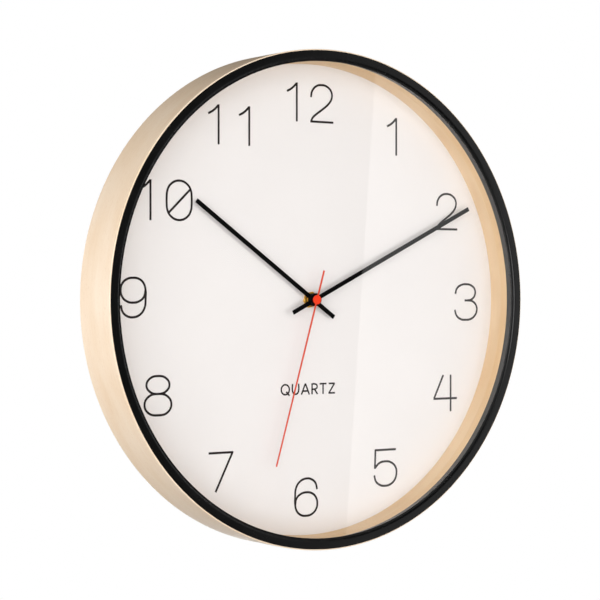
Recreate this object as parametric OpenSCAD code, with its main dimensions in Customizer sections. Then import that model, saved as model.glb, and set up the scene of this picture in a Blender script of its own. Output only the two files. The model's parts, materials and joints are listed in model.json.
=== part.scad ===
// Round wall clock with a bent-wood case, a flat glass and a quartz movement.
// Every piece is drawn lying on its back: X to the right, Y to twelve o'clock and
// Z out of the wall, with the hand axis on Z and the wall at Z = 0.
// stood_up() then turns each piece so that twelve o'clock is +Z and the front faces -Y.

/* [Case] */
// Outside diameter of the wooden hoop
case_d = 400; // [380:1:430]
// Thickness of the hoop's wall
hoop_wall = 7.4; // [6.5:0.1:10]
// Depth of the hoop, from the wall to its front edge
hoop_depth = 47.6; // [46:0.1:60]
// Rounding on the hoop's rear edges
hoop_edge_r = 1.2; // [0.4:0.1:2]

/* [Front] */
// Depth of the rebate in the hoop's front edge
rebate_depth = 9.5; // [8.6:0.1:11]
// Width of the rebate in the hoop's front edge
rebate_w = 2; // [1.5:0.1:3]
// How far the bezel's crest stands in front of the hoop
bezel_rise = 0.5; // [0.4:0.1:1]
// How far the bezel's lip reaches in past the hoop's wall
bezel_lip = 2.1; // [1:0.1:4]
// Thickness of the lip, which lies on the glass
bezel_lip_t = 0.6; // [0.4:0.1:0.6]
// Width of the lip, from its edge to the foot of the crest
bezel_lip_w = 1.7; // [1:0.1:2]
// Rounding of the crest towards the glass
bezel_round = 1.2; // [0.6:0.1:1.2]
// How far the crest slopes down to the bezel's outer edge
bezel_slope = 0.1; // [0.05:0.05:0.2]
// Inset of the bezel's outer edge from the hoop's outside
bezel_inset = 0.9; // [0.8:0.1:2]
// Thickness of the glass
lens_t = 2; // [1.5:0.1:3]
// How far the glass lies below the hoop's front edge
lens_sink = 1.4; // [1:0.1:1.6]
// How far the ring behind the glass reaches in past the hoop's wall
lens_ring_lip = 0.4; // [0.2:0.1:0.6]
// Clearance round the glass and the rings in the rebate
rebate_fit = 0.2; // [0.1:0.05:0.4]

/* [Dial] */
// Distance from the wall to the dial's face
dial_face = 18.6; // [18.6:0.1:22]
// Thickness of the printed dial sheet
dial_t = 0.3; // [0.2:0.1:1]
// Thickness of the backing board
board_t = 2.2; // [1.8:0.1:2.2]
// Clearance between the board and the hoop
board_fit = 0.2; // [0.1:0.05:0.4]
// Depth of the beech lining between the dial and the inside of the hoop
lining_depth = 11.5; // [6:0.5:15]
// Thickness of the lining at the dial
lining_t = 1.6; // [1:0.1:3]
// Thickness of the lining at its feathered front edge
lining_edge_t = 0.4; // [0.3:0.1:0.8]

/* [Rear] */
// Length of each glued block behind the board, along the rim
block_len = 26; // [16:1:40]
// Width of each glued block, from the rim inwards
block_w = 11; // [8:0.5:16]
// Depth of each glued block
block_depth = 8; // [5:0.5:12]
// Number of blocks, of which the one at twelve o'clock is the hanger's
block_count = 6; // [3:1:12]
// Width of the block behind the hanger plate
hanger_block_w = 64; // [50:1:90]
// Height of the block behind the hanger plate
hanger_block_h = 26; // [20:1:34]
// Width of the hanger plate
hanger_w = 46; // [40:1:60]
// Height of the hanger plate
hanger_h = 17; // [15:1:20]
// Thickness of the hanger plate
hanger_t = 1.2; // [0.8:0.1:1.5]
// Diameter of the keyhole, which passes the head of the hook
keyhole_d = 9; // [7:0.5:10]
// Width of the keyhole's slot
keyhole_slot = 4.2; // [3:0.1:4.5]
// Distance between the hanger plate's screws
hanger_screw_pitch = 34; // [28:1:42]
// Diameter of the hanger plate's screws
hanger_screw_d = 3; // [2:0.5:3.5]

/* [Movement case] */
// Side of the square movement
movement_w = 56; // [56:0.5:60]
// Depth of the movement
movement_depth = 15.2; // [15.2:0.1:16]
// Thickness of the movement's walls
movement_wall = 1; // [0.8:0.1:1.2]
// Thickness of the rear cover
cover_t = 1; // [0.8:0.1:1.2]
// Thickness of the rubber washer between the movement and the board
washer_t = 0.5; // [0.3:0.1:0.7]
// Diameter of the rubber washer
washer_d = 26; // [20:1:40]
// Outside diameter of the threaded stem
stem_d = 7.9; // [7:0.1:9]
// Distance across the flats of the stem's nut
nut_af = 12; // [11:0.5:14]
// Thickness of the stem's nut
nut_t = 2; // [1.5:0.1:3]
// Diameter of the cell
cell_d = 14.2; // [13.8:0.1:14.2]
// Length of the cell over its terminal
cell_len = 50.5; // [49.5:0.1:50.5]

/* [Train] */
// Distance from the hand axis to the third wheel's arbor
third_distance = 9.6; // [9.5:0.05:9.8]
// Distance from the hand axis to the intermediate wheel's arbor
inter_distance = 10.15; // [10.1:0.05:10.3]
// Distance from the intermediate wheel's arbor to the rotor's
rotor_distance = 7.2; // [7:0.05:7.3]
// Distance from the hand axis to the minute works' arbor
works_distance = 9.84; // [9.8:0.02:9.9]
// Clearance of each arbor in its bearing, on the radius
arbor_fit = 0.06; // [0.04:0.01:0.08]
// Diameter of the hand setting knob
knob_d = 8.4; // [7:0.2:9]

/* [Hands] */
// Length of the hour hand's tip from the axis
hour_len = 135; // [80:1:150]
// Length of the hour hand's tail
hour_tail = 25; // [10:1:30]
// Width of the hour hand
hour_w = 3.7; // [2:0.1:6]
// Length of the minute hand's tip from the axis
minute_len = 177.4; // [120:0.2:180]
// Length of the minute hand's tail
minute_tail = 24; // [10:1:30]
// Width of the minute hand
minute_w = 3.6; // [2:0.1:6]
// Length of the second hand's tip from the axis
second_len = 138.7; // [80:0.1:170]
// Length of the second hand's tail
second_tail = 24.7; // [10:0.1:40]
// Width of the second hand at its tail
second_w = 1.65; // [0.8:0.05:3]
// Diameter of the cap on the second hand
cap_d = 7.4; // [6:0.1:10]
// Diameter of the minute hand's boss
boss_d = 10.5; // [8:0.1:14]
// Clock hour that the hands show at rest, with its fraction
hour_shown = 10.17; // [0:0.01:12]
// Minute that the hands show at rest
minute_shown = 10.7; // [0:0.1:60]
// Second that the hands show at rest
second_shown = 32.75; // [0:0.05:60]

/* [Hidden] */
$fn = 96;
// Hair's breadth that keeps two cutting faces from lying on each other
eps = 0.01;

// Case and front
case_r = case_d / 2;
front_edge_r = 0.7;
hoop_in_r = case_r - hoop_wall;
rebate_r = hoop_in_r + rebate_w;
rebate_floor = hoop_depth - rebate_depth;
bezel_out_r = case_r - bezel_inset;
bezel_in_r = hoop_in_r - bezel_lip;
bezel_front = hoop_depth + bezel_rise;
bezel_crest_r = bezel_in_r + bezel_lip_w + bezel_round;
bezel_run = bezel_out_r - bezel_crest_r;
bezel_dome_r = (pow(bezel_run, 2) + pow(bezel_slope, 2)) / (2 * bezel_slope);
bezel_dome_angle = asin(bezel_run / bezel_dome_r);
bezel_steps = 8;
lens_front = hoop_depth - lens_sink;
lens_rear = lens_front - lens_t;
lens_ring_in_r = hoop_in_r - lens_ring_lip;

// Dial and rear
dial_rear = dial_face - dial_t;
board_rear = dial_rear - board_t;
board_r = hoop_in_r - board_fit;
glue_fit = 0.1;
lining_out_r = hoop_in_r - glue_fit;
block_out_r = hoop_in_r - glue_fit;
hanger_block_fit = 0.5;
hanger_block_top = sqrt(pow(hoop_in_r, 2) - pow(hanger_block_w / 2, 2)) - hanger_block_fit;
hanger_block_rear = 1.8;
hanger_rear = hanger_block_rear - hanger_t;
hanger_y = hanger_block_top - hanger_block_h / 2;
keyhole_y = hanger_y - 2;
keyhole_rise = 5;
hook_room = 7;
hook_margin = 1;
screw_head_t = 0.5;
screw_fit = 0.05;
screw_recess = [3, 0.6, 0.6];
screw_len = 9;

// Levels inside the movement, from the wall forwards
movement_front = board_rear - washer_t;
movement_rear = movement_front - movement_depth;
front_wall_rear = movement_front - movement_wall;
cover_front = movement_rear + cover_t;
cover_edge_fit = 0.15;
cavity_half = movement_w / 2 - movement_wall;
bay_top = -12;
bay_wall_top = bay_top + movement_wall;
bay_side_fit = 0.4;
bay_depth_fit = 0.1;
cell_y = bay_top - cell_d / 2 - bay_side_fit;
cell_z = movement_rear + cell_d / 2 + bay_depth_fit;
cell_nub_len = 1.5;
cell_body_len = cell_len - cell_nub_len;
cell_nub_d = 5.5;
housing_corner_r = 3;
stem_collar = 1.6;
collar_fit = 0.3;
post_r = 1.6;
pillar_r = 1.2;
motor_boss_r = 1.5;
bearing_rise = 0.6;
rear_boss_t = 1.8;
rotor_boss_t = 1.4;
well_fit = 0.4;
// Blind ends of the bearings' bores, and the ends of the pivots just short of them
front_bore_end = front_wall_rear - 0.6;
rear_bore_end = cover_front + 0.4;
pivot_end_fit = 0.2;
pivot_front = front_bore_end - pivot_end_fit;
pivot_rear = rear_bore_end + pivot_end_fit;

// Levels of the wheels, each [rear, thickness]
hour_level = [front_wall_rear - 1.4, 1];
works_pinion_level = [front_wall_rear - 1.5, 1.2];
works_level = [front_wall_rear - 2.7, 0.8];
cannon_level = [front_wall_rear - 2.9, 1.2];
centre_level = [front_wall_rear - 4.2, 0.8];
third_pinion_level = [front_wall_rear - 4.4, 1.2];
third_level = [front_wall_rear - 5.6, 0.8];
second_pinion_level = [front_wall_rear - 5.7, 1];
second_level = [front_wall_rear - 7.1, 0.8];
inter_pinion_level = [front_wall_rear - 7.3, 1.2];
inter_level = [front_wall_rear - 8.5, 0.8];
rotor_pinion_level = [front_wall_rear - 8.7, 1.2];
magnet_level = [front_wall_rear - 10.7, 1.6];
stator_level = [front_wall_rear - 10.3, 0.8];
core_level = [front_wall_rear - 11.1, 0.8];
board_level = [cover_front + 0.8, 0.8];

// Tooth counts: 30 turns of the rotor to one of the second hand, 60 of the second hand
// to one of the minute hand, and 12 of the minute hand to one of the hour hand
rotor_leaves = 12;
inter_teeth = 60;
inter_leaves = 10;
second_teeth = 60;
second_leaves = 8;
third_teeth = 64;
third_leaves = 8;
centre_teeth = 60;
cannon_leaves = 12;
works_teeth = 36;
works_leaves = 10;
hour_teeth = 40;

// Tooth form, in modules and in shares of the pitch
tooth_fill = 0.38;
tooth_tip = 0.4;
tooth_above = 0.75;
tooth_below = 1;

// Directions of the arbors as seen from the front, and where they stand
third_dir = 150;
inter_dir = -25;
rotor_dir = 30;
works_dir = 48;
third_at = polar(third_distance, third_dir);
inter_at = polar(inter_distance, inter_dir);
rotor_at = inter_at + polar(rotor_distance, rotor_dir);
works_at = polar(works_distance, works_dir);

// Radii of the nested tubes on the hand axis
second_r = 0.75;
minute_bore_r = second_r + arbor_fit;
minute_r = 1.7;
hour_bore_r = minute_r + arbor_fit;
hour_r = 2.6;
stem_bore_r = hour_r + arbor_fit;
stem_r = stem_d / 2;
second_pivot_r = 0.5;
pivot_r = 0.4;
works_r = 0.6;
wheel_hub_r = 0.7;
second_hub_r = 1.1;
rotor_r = 0.8;
bearing_wall = 0.7;
nut_chamfer = 1.4;

// Hand levels, each the rear face, and the front ends of the tubes
stem_front = dial_face + 3;
hour_hand_z = dial_face + 4.8;
hour_hand_t = 0.4;
minute_boss_rear = dial_face + 5.6;
minute_boss_t = 3.6;
boss_groove = 1.4;
minute_hand_z = dial_face + 7.3;
minute_hand_t = 0.4;
second_hand_z = dial_face + 10.1;
second_hand_t = 0.25;
cap_boss_t = 0.6;
cap_t = 0.5;
knob_t = 1.2;
knob_ribs = 24;
knob_rib = 0.35;
hour_tube_front = hour_hand_z + hour_hand_t;
minute_tube_front = minute_boss_rear + minute_boss_t - 0.6;
hour_angle = 90 - hour_shown * 30;
minute_angle = 90 - minute_shown * 6;
second_angle = 90 - second_shown * 6;

// Where the circuit board lies, and what stands on it
board_x = [-14, 20];
board_y = [14.6, 25.6];
crystal_at = [-10, 18.5];
crystal_r = 1;
crystal_len = 6.2;
chip_at = [5, 19.5];
chip_r = 2.6;
chip_t = 1.1;

// Contacts of the cell
contact_t = 0.3;
contact_w = 8;
contact_foot = 3;
cell_end_fit = 0.2;
// The spring's turns fill the space between the cell and the wall
spring_fit = 0.05;
spring_turns = 3;
spring_step = (cavity_half - cell_len / 2 - cell_end_fit - spring_fit) / spring_turns;
spring_r = 2.5;

// Motor
magnet_r = 2.6;
stator_hole_r = magnet_r + 0.5;
stator_x = [11.2, 19.5];
stator_y = [-10.7, 10];
neck_cut = 0.7;
stator_screw_x = 17.4;
stator_screw_y = [-9.2, 8.3];
core_x = [21.8, 24.8];
core_tab_x = 15.6;
core_tab_h = 3;
bobbin_half = 2.4;
bobbin_y = [-6.4, 5.2];
bobbin_flange = 0.8;
bobbin_wall = 0.6;
motor_screw_r = 0.8;
well_wall = 0.8;
well_depth = 2.4;

function polar(r, a) = [r * cos(a), r * sin(a)];

// One tooth after another round the pitch circle, six points to a tooth
function tooth_points(teeth, module_size, first) = [
    for (i = [0 : teeth - 1])
        let (
            pitch_r = teeth * module_size / 2,
            half = 180 / teeth * tooth_fill,
            tip_r = pitch_r + tooth_above * module_size,
            root_r = pitch_r - tooth_below * module_size,
            at = first + i * 360 / teeth
        )
        for (p = [[root_r, -half], [pitch_r, -half], [tip_r, -half * tooth_tip],
                [tip_r, half * tooth_tip], [pitch_r, half], [root_r, half]])
            polar(p[0], at + p[1])
];

// Stands a piece up, from lying on its back to hanging on the wall
module stood_up() {
    rotate([90, 0, 0]) children();
}

// A plate of a flat outline, between a rear level and its thickness
module plate(rear, t) {
    translate([0, 0, rear]) linear_extrude(t) children();
}

module rod(r, rear, front, at = [0, 0]) {
    translate([at[0], at[1], rear]) cylinder(r = r, h = front - rear);
}

module tube(r, bore_r, rear, front, at = [0, 0]) {
    difference() {
        rod(r, rear, front, at);
        rod(bore_r, rear - eps, front + eps, at);
    }
}

// A toothed wheel. distance and partner_teeth set its module, and first its first tooth
module toothed(teeth, partner_teeth, distance, level, first, at = [0, 0]) {
    translate([at[0], at[1], 0]) plate(level[0], level[1])
        polygon(tooth_points(teeth, 2 * distance / (teeth + partner_teeth), first));
}

module box(x, y, z) {
    translate([x[0], y[0], z[0]]) cube([x[1] - x[0], y[1] - y[0], z[1] - z[0]]);
}

// ---- Case ----

module case_hoop() color("burlywood") stood_up() rotate_extrude($fn = 256) {
    difference() {
        polygon([
            [hoop_in_r, hoop_edge_r],
            [hoop_in_r + hoop_edge_r, 0],
            [case_r - hoop_edge_r, 0],
            [case_r, hoop_edge_r],
            [case_r, hoop_depth - front_edge_r],
            [case_r - front_edge_r, hoop_depth],
            [hoop_in_r, hoop_depth]
        ]);
        translate([hoop_in_r - 1, rebate_floor]) square([rebate_w + 1, rebate_depth + 1]);
    }
}

// The lip, the rounding up to the crest, the dome down to the outer edge, and the
// underside that steps over the glass
module bezel_ring() color([0.1, 0.1, 0.1]) stood_up() rotate_extrude($fn = 256) polygon(concat(
    [[bezel_in_r, lens_front], [bezel_in_r, lens_front + bezel_lip_t]],
    [[bezel_in_r + bezel_lip_w, lens_front + bezel_lip_t]],
    [for (i = [0 : bezel_steps])
        [bezel_crest_r, bezel_front - bezel_round]
            + polar(bezel_round, 180 - 90 * i / bezel_steps)],
    [for (i = [1 : bezel_steps])
        [bezel_crest_r, bezel_front - bezel_dome_r]
            + polar(bezel_dome_r, 90 - bezel_dome_angle * i / bezel_steps)],
    [[bezel_out_r, hoop_depth], [rebate_r - rebate_fit, hoop_depth]],
    [[rebate_r - rebate_fit, lens_front]]
));

module lens_ring() color("black") stood_up()
    tube(rebate_r - rebate_fit, lens_ring_in_r, rebate_floor, lens_rear, $fn = 256);

module lens() color("lightcyan", 0.3) stood_up()
    rod(rebate_r - rebate_fit, lens_rear, lens_front, $fn = 256);

module lining_ring() color("wheat") stood_up() rotate_extrude($fn = 256) polygon([
    [hoop_in_r - lining_t, dial_face],
    [lining_out_r, dial_face],
    [lining_out_r, dial_face + lining_depth],
    [lining_out_r - lining_edge_t, dial_face + lining_depth]
]);

module dial() color("ivory") stood_up()
    tube(board_r, stem_r + arbor_fit, dial_rear, dial_face, $fn = 256);

module dial_board() color("tan") stood_up()
    tube(board_r, stem_r + arbor_fit, board_rear, dial_rear, $fn = 256);

// ---- Rear ----

module corner_blocks() color("burlywood") stood_up()
    for (i = [1 : block_count - 1])
        rotate([0, 0, 90 + i * 360 / block_count])
            intersection() {
                rod(block_out_r, board_rear - block_depth, board_rear, $fn = 256);
                box([block_out_r - block_w, block_out_r + 1], [-block_len / 2, block_len / 2],
                    [board_rear - block_depth, board_rear]);
            }

// Outline of a keyhole, from its round entry up to the end of its slot
module keyhole(entry_d, slot_w) {
    translate([0, keyhole_y]) circle(d = entry_d);
    translate([-slot_w / 2, keyhole_y]) square([slot_w, keyhole_rise]);
    translate([0, keyhole_y + keyhole_rise]) circle(d = slot_w);
}

module hanger_block() color("burlywood") stood_up() difference() {
    box([-hanger_block_w / 2, hanger_block_w / 2],
        [hanger_block_top - hanger_block_h, hanger_block_top], [hanger_block_rear, board_rear]);
    plate(hanger_block_rear - 1, hook_room + 1)
        keyhole(keyhole_d + 2 * hook_margin, keyhole_d + hook_margin);
    for (side = [-1, 1])
        rod(hanger_screw_d / 2, hanger_block_rear - 1, hanger_block_rear + screw_len,
            [side * hanger_screw_pitch / 2, hanger_y]);
}

module hanger_plate() color("silver") stood_up() plate(hanger_rear, hanger_t) difference() {
    union() {
        translate([-hanger_w / 2 + hanger_h / 2, hanger_y - hanger_h / 2])
            square([hanger_w - hanger_h, hanger_h]);
        for (side = [-1, 1])
            translate([side * (hanger_w - hanger_h) / 2, hanger_y]) circle(d = hanger_h);
    }
    keyhole(keyhole_d, keyhole_slot);
    for (side = [-1, 1])
        translate([side * hanger_screw_pitch / 2, hanger_y])
            circle(d = hanger_screw_d + 4 * screw_fit);
}

module hanger_screws() color("silver") stood_up()
    for (side = [-1, 1])
        let (at = [side * hanger_screw_pitch / 2, hanger_y]) {
            rod(hanger_screw_d / 2 - screw_fit, hanger_rear, hanger_block_rear + screw_len - 0.5,
                at);
            difference() {
                rod(hanger_screw_d, hanger_rear - screw_head_t, hanger_rear, at);
                // cross recess
                for (turn = [0, 90])
                    translate([at[0], at[1], hanger_rear - screw_head_t])
                        rotate([0, 0, turn]) cube(screw_recess, center = true);
            }
        }

// ---- Movement case ----

module rubber_washer() color("black") stood_up()
    tube(washer_d / 2, stem_r + stem_collar + collar_fit, board_rear - washer_t, board_rear);

module rounded_square(w, r) {
    for (sx = [-1, 1], sy = [-1, 1])
        translate([sx * (w / 2 - r), sy * (w / 2 - r)]) circle(r);
    square([w - 2 * r, w], center = true);
    square([w, w - 2 * r], center = true);
}

// A bearing boss from the front wall down to a pinion, with a blind bore for its pivot
module front_bearing(at, pinion_level) {
    rear = pinion_level[0] + pinion_level[1] + bearing_rise;
    difference() {
        rod(pivot_r + arbor_fit + bearing_wall, rear, front_wall_rear + eps, at, $fn = 48);
        rod(pivot_r + arbor_fit, rear - eps, front_bore_end, at, $fn = 48);
    }
}

module movement_housing() color("whitesmoke") stood_up() difference() {
    union() {
        difference() {
            plate(movement_rear, movement_depth) rounded_square(movement_w, housing_corner_r);
            // train room above the bay
            box([-cavity_half, cavity_half], [bay_wall_top, cavity_half],
                [movement_rear - 1, front_wall_rear]);
            // cell bay
            box([-cavity_half, cavity_half], [-cavity_half, bay_top],
                [movement_rear - 1, cell_z + cell_d / 2 + bay_depth_fit]);
        }
        front_bearing(third_at, third_pinion_level);
        front_bearing(inter_at, inter_pinion_level);
        front_bearing(rotor_at, rotor_pinion_level);
        for (y = stator_screw_y)
            rod(motor_boss_r, stator_level[0] + stator_level[1], front_wall_rear + eps,
                [stator_screw_x, y], $fn = 48);
        // corner posts that the rear cover rests on
        for (x = [-1, 1])
            translate([x * (cavity_half - motor_boss_r), cavity_half - motor_boss_r, cover_front])
                cylinder(r = post_r, h = front_wall_rear - cover_front + eps, $fn = 48);
        // pillars for the circuit board
        for (x = [board_x[0] + 2, board_x[1] - 2])
            rod(pillar_r, board_level[0] + board_level[1], front_wall_rear + eps,
                [x, board_y[1] - 2], $fn = 48);
    }
    rod(stem_r + arbor_fit, front_wall_rear - 1, movement_front + 1);
    rod(pivot_r + arbor_fit, front_wall_rear - eps, front_wall_rear + 0.7, works_at, $fn = 48);
    for (y = stator_screw_y)
        rod(motor_screw_r, stator_level[0], stator_level[0] + 4.5, [stator_screw_x, y], $fn = 48);
}

// A bearing boss that stands on the rear cover, with a blind bore
module rear_bearing(at, r, height) {
    difference() {
        rod(r + arbor_fit + bearing_wall, cover_front - eps, cover_front + height, at, $fn = 48);
        rod(r + arbor_fit, rear_bore_end, cover_front + height + 1, at, $fn = 48);
    }
}

module rear_cover() color("whitesmoke") stood_up() {
    well_r = knob_d / 2 + well_fit;
    well_floor = movement_rear + well_depth;
    difference() {
        union() {
            box([-cavity_half + cover_edge_fit, cavity_half - cover_edge_fit],
                [bay_wall_top + cover_edge_fit, cavity_half - cover_edge_fit],
                [movement_rear, cover_front]);
            rod(well_r + well_wall, movement_rear, well_floor, works_at);
            rear_bearing([0, 0], second_pivot_r, rear_boss_t);
            rear_bearing(third_at, pivot_r, rear_boss_t);
            rear_bearing(inter_at, pivot_r, rear_boss_t);
            rear_bearing(rotor_at, pivot_r, rotor_boss_t);
        }
        rod(well_r, movement_rear - 1, well_floor - well_wall, works_at);
        rod(works_r + arbor_fit, movement_rear, well_floor + 1, works_at, $fn = 48);
    }
}

module threaded_stem() color("goldenrod") stood_up() difference() {
    union() {
        rod(stem_r, front_wall_rear - 0.3, stem_front);
        rod(stem_r + stem_collar, movement_front, board_rear);
    }
    rod(stem_bore_r, front_wall_rear - 1, stem_front + 1);
}

module stem_nut() color("goldenrod") stood_up() difference() {
    translate([0, 0, dial_face]) rotate([0, 0, 12]) intersection() {
        cylinder(d = nut_af / cos(30), h = nut_t, $fn = 6);
        // chamfered corners
        cylinder(r1 = nut_af / 2 / cos(30) + nut_chamfer, r2 = nut_af / 2, h = nut_t);
    }
    rod(stem_r + arbor_fit, dial_face - 1, dial_face + nut_t + 1);
}

// ---- Electrics ----

module circuit_board() color("darkgreen") stood_up()
    box(board_x, board_y, [board_level[0], board_level[0] + board_level[1]]);

module crystal() color("silver") stood_up()
    translate([crystal_at[0], crystal_at[1], board_level[0] + board_level[1] + crystal_r + 0.05])
        rotate([0, 90, 0]) cylinder(r = crystal_r, h = crystal_len, $fn = 48);

module chip_cover() color("black") stood_up()
    translate([chip_at[0], chip_at[1], board_level[0] + board_level[1]])
        cylinder(r1 = chip_r, r2 = chip_r - chip_t, h = chip_t);

module stator() color("silver") stood_up() difference() {
    box(stator_x, stator_y, [stator_level[0], stator_level[0] + stator_level[1]]);
    rod(stator_hole_r, stator_level[0] - 1, stator_level[0] + 2, rotor_at);
    // the narrow necks beside the rotor, which steer the field
    for (x = [stator_x[0] - eps, stator_x[1] - neck_cut + eps])
        box([x, x + neck_cut], [rotor_at[1] - 0.5, rotor_at[1] + 0.5],
            [stator_level[0] - 1, stator_level[0] + 2]);
    for (y = stator_screw_y)
        rod(motor_screw_r + 0.1, stator_level[0] - 1, stator_level[0] + 2, [stator_screw_x, y],
            $fn = 48);
}

module coil_core() color("silver") stood_up() difference() {
    union() {
        box(core_x, stator_y, [core_level[0], core_level[0] + core_level[1]]);
        for (y = stator_screw_y)
            box([core_tab_x, core_x[0] + eps], [y - core_tab_h / 2, y + core_tab_h / 2],
                [core_level[0], core_level[0] + core_level[1]]);
    }
    for (y = stator_screw_y)
        rod(motor_screw_r + 0.1, core_level[0] - 1, core_level[0] + 2, [stator_screw_x, y],
            $fn = 48);
}

// A square frame round the coil's core, between two distances from its middle
module round_core(outer, y) {
    mid = [(core_x[0] + core_x[1]) / 2, core_level[0] + core_level[1] / 2];
    box([mid[0] - outer, mid[0] + outer], y, [mid[1] - min(outer, bobbin_half),
        mid[1] + min(outer, bobbin_half)]);
}

module coil_bobbin() color("white") stood_up() difference() {
    union() {
        box([core_x[0] - bobbin_wall, core_x[1] + bobbin_wall], bobbin_y,
            [core_level[0] - bobbin_wall, core_level[0] + core_level[1] + bobbin_wall]);
        round_core(bobbin_half + 0.2, [bobbin_y[0], bobbin_y[0] + bobbin_flange]);
        round_core(bobbin_half + 0.2, [bobbin_y[1] - bobbin_flange, bobbin_y[1]]);
    }
    box(core_x, [bobbin_y[0] - 1, bobbin_y[1] + 1],
        [core_level[0], core_level[0] + core_level[1]]);
}

module coil_winding() color("chocolate") stood_up() difference() {
    round_core(bobbin_half - 0.1, [bobbin_y[0] + bobbin_flange, bobbin_y[1] - bobbin_flange]);
    box([core_x[0] - bobbin_wall, core_x[1] + bobbin_wall], [bobbin_y[0], bobbin_y[1]],
        [core_level[0] - bobbin_wall, core_level[0] + core_level[1] + bobbin_wall]);
}

module stator_screws() color("silver") stood_up()
    for (y = stator_screw_y) {
        rod(motor_screw_r - screw_fit, core_level[0], stator_level[0] + 4, [stator_screw_x, y],
            $fn = 48);
        rod(motor_screw_r * 1.8, core_level[0] - 0.6, core_level[0], [stator_screw_x, y], $fn = 48);
    }

// ---- Cell and its contacts ----

module contact_positive() color("silver") stood_up() {
    x = cell_len / 2 + cell_end_fit;
    box([x, x + contact_t], [cell_y - contact_w / 2, cell_y + contact_w / 2],
        [cell_z - contact_w / 2, cell_z + contact_w / 2]);
    box([x + contact_t - eps, cavity_half], [cell_y - contact_foot / 2, cell_y + contact_foot / 2],
        [cell_z - contact_foot / 2, cell_z + contact_foot / 2]);
}

module contact_negative() color("silver") stood_up() {
    x = -cell_len / 2 - cell_end_fit;
    // the turns of the conical spring, drawn as steps, on its foot against the wall
    for (i = [0 : spring_turns - 1])
        translate([x - spring_step * i, cell_y, cell_z])
            rotate([0, -90, 0]) cylinder(r = spring_r + i, h = spring_step + eps);
}

module cell() color("dimgray") stood_up() translate([-cell_len / 2, cell_y, cell_z])
    rotate([0, 90, 0]) {
        cylinder(d = cell_d, h = cell_body_len);
        cylinder(d = cell_nub_d, h = cell_len);
    }

// ---- Hour hand ----

// A straight hand with square ends, pointing along X
module bar_hand(len, tail, w, hub_d, bore_r, z, t) {
    plate(z, t) difference() {
        union() {
            translate([-tail, -w / 2]) square([len + tail, w]);
            circle(d = hub_d);
        }
        circle(bore_r);
    }
}

module hour_hand() color("black") stood_up() rotate([0, 0, hour_angle])
    bar_hand(hour_len, hour_tail, hour_w, boss_d, hour_r, hour_hand_z, hour_hand_t);

module hour_wheel() color("ivory") stood_up() difference() {
    union() {
        toothed(hour_teeth, works_leaves, works_distance, hour_level, works_dir);
        rod(hour_r, hour_level[0], hour_tube_front);
    }
    rod(hour_bore_r, hour_level[0] - 1, hour_tube_front + 1);
}

// ---- Minute hand ----

module minute_hand() color("black") stood_up() rotate([0, 0, minute_angle])
    bar_hand(minute_len, minute_tail, minute_w, boss_d, boss_d / 2 - boss_groove, minute_hand_z,
        minute_hand_t);

module minute_boss() color("black") stood_up() difference() {
    rod(boss_d / 2, minute_boss_rear, minute_boss_rear + minute_boss_t);
    // seat of the hand, and the bore that is pressed on the tube
    tube(boss_d / 2 + 1, boss_d / 2 - boss_groove, minute_hand_z, minute_hand_z + minute_hand_t);
    rod(minute_r, minute_boss_rear - 1, minute_tube_front);
    rod(second_r + 0.25, minute_boss_rear, minute_boss_rear + minute_boss_t + 1);
}

module minute_tube() color("goldenrod") stood_up() difference() {
    union() {
        rod(minute_r, centre_level[0], minute_tube_front);
        toothed(cannon_leaves, works_teeth, works_distance, cannon_level, works_dir);
    }
    rod(minute_bore_r, centre_level[0] - 1, minute_tube_front + 1);
}

module centre_wheel() color("ivory") stood_up() difference() {
    toothed(centre_teeth, third_leaves, third_distance, centre_level, third_dir);
    rod(minute_r, centre_level[0] - 1, centre_level[0] + 2);
}

// ---- Second hand ----

module second_hand() color("red") stood_up() rotate([0, 0, second_angle])
    plate(second_hand_z, second_hand_t)
        polygon([
            [-second_tail, -second_w / 2],
            [second_len, -second_w * 0.4],
            [second_len, second_w * 0.4],
            [-second_tail, second_w / 2]
        ]);

module second_cap() color("red") stood_up() {
    // the boss behind the hand grips the arbor, and the cap lies in front of it
    difference() {
        rod(cap_d / 2, second_hand_z - cap_boss_t, second_hand_z);
        rod(second_r, second_hand_z - 1, second_hand_z + 1);
    }
    rod(cap_d / 2, second_hand_z + second_hand_t, second_hand_z + second_hand_t + cap_t);
}

module second_arbor() color("silver") stood_up() {
    rod(second_pivot_r, pivot_rear, second_pinion_level[0], $fn = 48);
    rod(second_r, second_pinion_level[0], second_hand_z);
}

module second_wheel() color("ivory") stood_up() {
    difference() {
        union() {
            toothed(second_teeth, inter_leaves, inter_distance, second_level, inter_dir);
            rod(second_hub_r, second_level[0] - 0.5, second_pinion_level[0]);
        }
        rod(second_pivot_r, second_level[0] - 2, second_pinion_level[0] + 1, $fn = 48);
    }
    difference() {
        toothed(second_leaves, third_teeth, third_distance, second_pinion_level, third_dir);
        rod(second_r, second_pinion_level[0] - 1, second_pinion_level[0] + 2);
    }
}

// ---- The train's other arbors, each moulded in one with its pinion ----

module third_wheel() color("ivory") stood_up() {
    mesh_dir = third_dir + 180;
    toothed(third_teeth, second_leaves, third_distance, third_level, mesh_dir + 180 / third_teeth,
        third_at);
    toothed(third_leaves, centre_teeth, third_distance, third_pinion_level,
        mesh_dir + 180 / third_leaves, third_at);
    rod(wheel_hub_r, third_level[0] - 0.4, third_pinion_level[0] + third_pinion_level[1] + 0.3,
        third_at);
    rod(pivot_r, pivot_rear, pivot_front, third_at, $fn = 48);
}

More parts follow.
